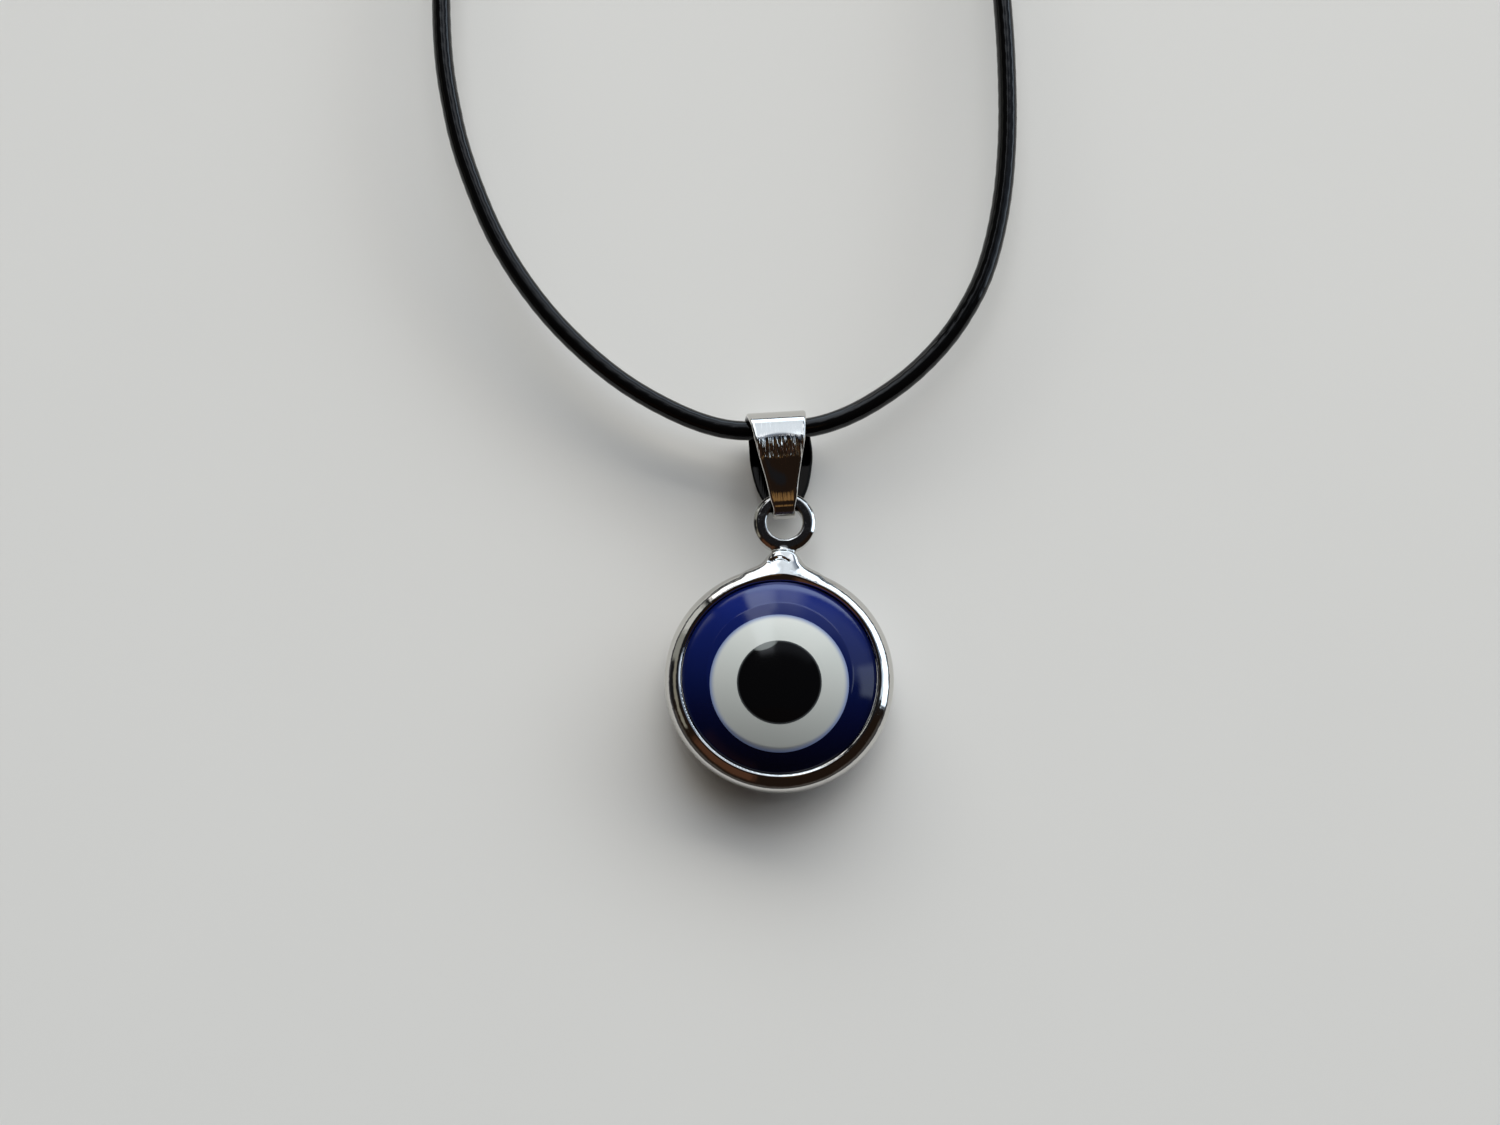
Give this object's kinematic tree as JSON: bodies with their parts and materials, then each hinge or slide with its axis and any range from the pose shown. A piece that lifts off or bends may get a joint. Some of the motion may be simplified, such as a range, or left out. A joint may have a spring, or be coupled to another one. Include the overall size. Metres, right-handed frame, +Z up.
{
  "type": "evil eye pendant on a neck cord",
  "caption": "Round blue evil eye bead in a plated frame with an eye ring and a folded bail, on a closed loop of black waxed cord with a plain barrel clasp.",
  "frame": {"origin": "on the surface that the pendant lies on, below the middle of the box of the setting, bead and bail", "axes": "+Z up out of the face of the bead, +Y from the bead towards the eye ring and bail, +X to the right as seen from the front"},
  "size_m": [0.0493, 0.2277, 0.005],
  "materials": {
    "silver_plate": "polished silver-coloured plating",
    "blue_resin": "glossy cobalt blue resin",
    "white_resin": "glossy bluish white resin",
    "black_resin": "glossy black resin",
    "waxed_cord": "black waxed braid with a soft gloss"
  },
  "bodies": {
    "root": {"setting": "silver_plate", "eye_bead": "blue_resin", "iris": "white_resin", "pupil": "black_resin", "bail": "silver_plate", "neck_cord": "waxed_cord", "clasp": "silver_plate"}
  },
  "joints": []
}
